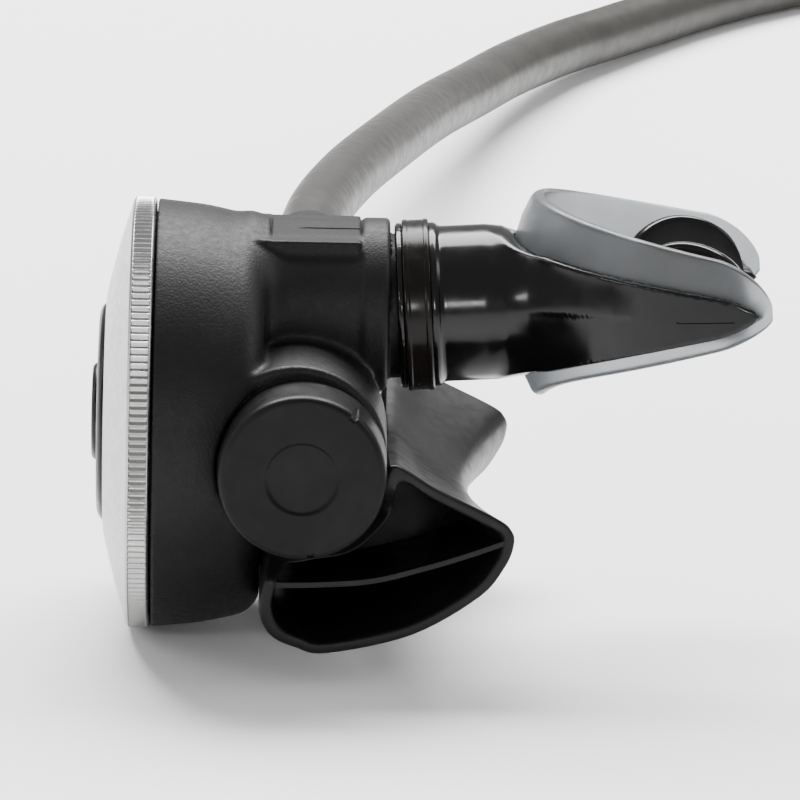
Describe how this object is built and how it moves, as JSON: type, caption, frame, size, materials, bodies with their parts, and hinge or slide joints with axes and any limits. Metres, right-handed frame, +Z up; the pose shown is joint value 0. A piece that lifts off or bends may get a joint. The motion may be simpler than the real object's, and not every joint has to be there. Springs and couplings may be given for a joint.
{
  "type": "scuba regulator second stage",
  "caption": "Round demand valve with a silver bezel, purge button, two-winged exhaust tee, bite mouthpiece and a low-pressure hose that ends in a threaded fitting.",
  "frame": {"origin": "on the table under the middle of the second stage's box, without the hose and its fittings", "axes": "+X from the purge cover to the mouthpiece, +Y along the valve barrel towards the hose, +Z up"},
  "size_m": [0.259, 0.556, 0.0771],
  "materials": {
    "nylon": "fine pebbled moulding",
    "tee_plastic": "satin",
    "cap_plastic": "smooth satin",
    "cover_plastic": "semi-gloss",
    "clamp_plastic": "gloss",
    "mouth_black": "glossy silicone",
    "mouth_clear": "translucent silicone",
    "seal_rubber": "matte",
    "diaphragm_rubber": "matte silicone",
    "white_plastic": "satin",
    "brass_plated": "satin",
    "chrome_parts": "polished",
    "spring_steel": "plain",
    "bezel_metal": "satin",
    "ferrule_metal": "satin",
    "sleeve_rubber": "smooth matte",
    "hose_rubber": "matte grey"
  },
  "bodies": {
    "case": {"case_body": "nylon", "exhaust_tee": "tee_plastic", "exhaust_webs": "tee_plastic", "end_cap": "cap_plastic", "end_cap_oring": "seal_rubber", "valve_barrel": "brass_plated", "barrel_nut": "chrome_parts", "barrel_oring": "seal_rubber", "orifice": "chrome_parts", "orifice_oring": "seal_rubber", "spring_adjuster": "brass_plated", "lever_pin": "spring_steel", "deflector_vane": "tee_plastic", "mouthpiece_body": "mouth_black", "mouthpiece_shield": "mouth_clear", "bite_tabs": "mouth_black", "mouthpiece_clamp": "clamp_plastic", "diaphragm": "diaphragm_rubber", "diaphragm_ring": "white_plastic", "purge_guide": "tee_plastic", "front_cover": "cover_plastic", "purge_spring": "spring_steel", "poppet_spring": "spring_steel", "hose_stem": "chrome_parts", "stem_oring": "seal_rubber", "hose_ferrule": "ferrule_metal", "hose_protector": "sleeve_rubber", "hose": "hose_rubber", "end_ferrule": "ferrule_metal", "end_fitting": "chrome_parts", "end_oring": "seal_rubber"},
    "bezel": {"bezel_ring": "bezel_metal"},
    "button": {"purge_button": "cover_plastic"},
    "plate": {"diaphragm_plate": "spring_steel"},
    "lever": {"demand_lever": "spring_steel"},
    "poppet": {"poppet": "white_plastic", "seat_disc": "seal_rubber"},
    "mushroom": {"exhaust_valve": "diaphragm_rubber"},
    "swivel_nut": {"hose_nut": "chrome_parts"}
  },
  "joints": [
    {"name": "purge_press", "type": "slide", "parent": "case", "child": "button", "axis": [1, 0, 0], "range_m": [0, 0.0024], "stiffness_N_per_m": 350, "springref_m": -0.003, "deforming": ["purge_spring"]},
    {"name": "diaphragm_stroke", "type": "slide", "parent": "case", "child": "plate", "axis": [1, 0, 0], "range_m": [0, 0.0024], "deforming": ["diaphragm"]},
    {"name": "lever_swing", "type": "hinge", "parent": "case", "child": "lever", "pos_m": [-0.0299, -0.012, 0.0375], "axis": [0, 0, -1], "range_deg": [0, 10.32]},
    {"name": "poppet_slide", "type": "slide", "parent": "case", "child": "poppet", "axis": [0, -1, 0], "range_m": [0, 0.00165], "deforming": ["poppet_spring"]},
    {"name": "exhaust_lift", "type": "slide", "parent": "case", "child": "mushroom", "axis": [1, 0, 0], "range_m": [0, 0.002], "stiffness_N_per_m": 20, "springref_m": -0.0005},
    {"name": "bezel_turn", "type": "hinge", "parent": "case", "child": "bezel", "pos_m": [-0.048, 0, 0.0371], "axis": [1, 0, 0], "continuous": true},
    {"name": "hose_nut_spin", "type": "hinge", "parent": "case", "child": "swivel_nut", "pos_m": [-0.0203, 0.042, 0.0375], "axis": [0, 1, 0], "continuous": true}
  ],
  "couplings": [
    {"joint": "diaphragm_stroke", "follows": "purge_press", "ratio": 1},
    {"joint": "lever_swing", "follows": "purge_press", "rad_per_m": 75},
    {"joint": "poppet_slide", "follows": "purge_press", "ratio": 0.6875}
  ]
}
